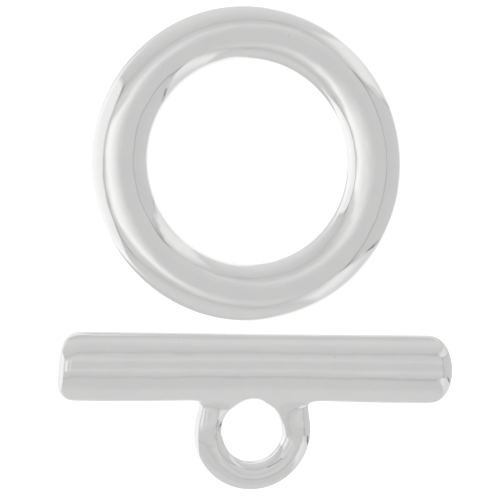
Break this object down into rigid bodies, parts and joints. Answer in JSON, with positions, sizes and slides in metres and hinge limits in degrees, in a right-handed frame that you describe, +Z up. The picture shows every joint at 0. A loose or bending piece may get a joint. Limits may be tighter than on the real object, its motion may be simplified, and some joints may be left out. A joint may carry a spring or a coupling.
{
  "type": "toggle clasp",
  "caption": "Polished toggle clasp: a plain round ring and a straight bar with a wire eye at its middle, lying side by side.",
  "frame": {"origin": "on the plane that both pieces lie on, under the middle of the pair's box", "axes": "+X along the bar towards its domed end, +Y from the bar to the ring, +Z up from the plane"},
  "size_m": [0.0188, 0.0232, 0.0033],
  "materials": {
    "ring_silver": "high polish, faint hand-buffed ripple",
    "bar_silver": "high polish, faint lengthwise buffing"
  },
  "bodies": {
    "root": {"toggle_ring": "ring_silver", "toggle_bar": "bar_silver"}
  },
  "joints": []
}
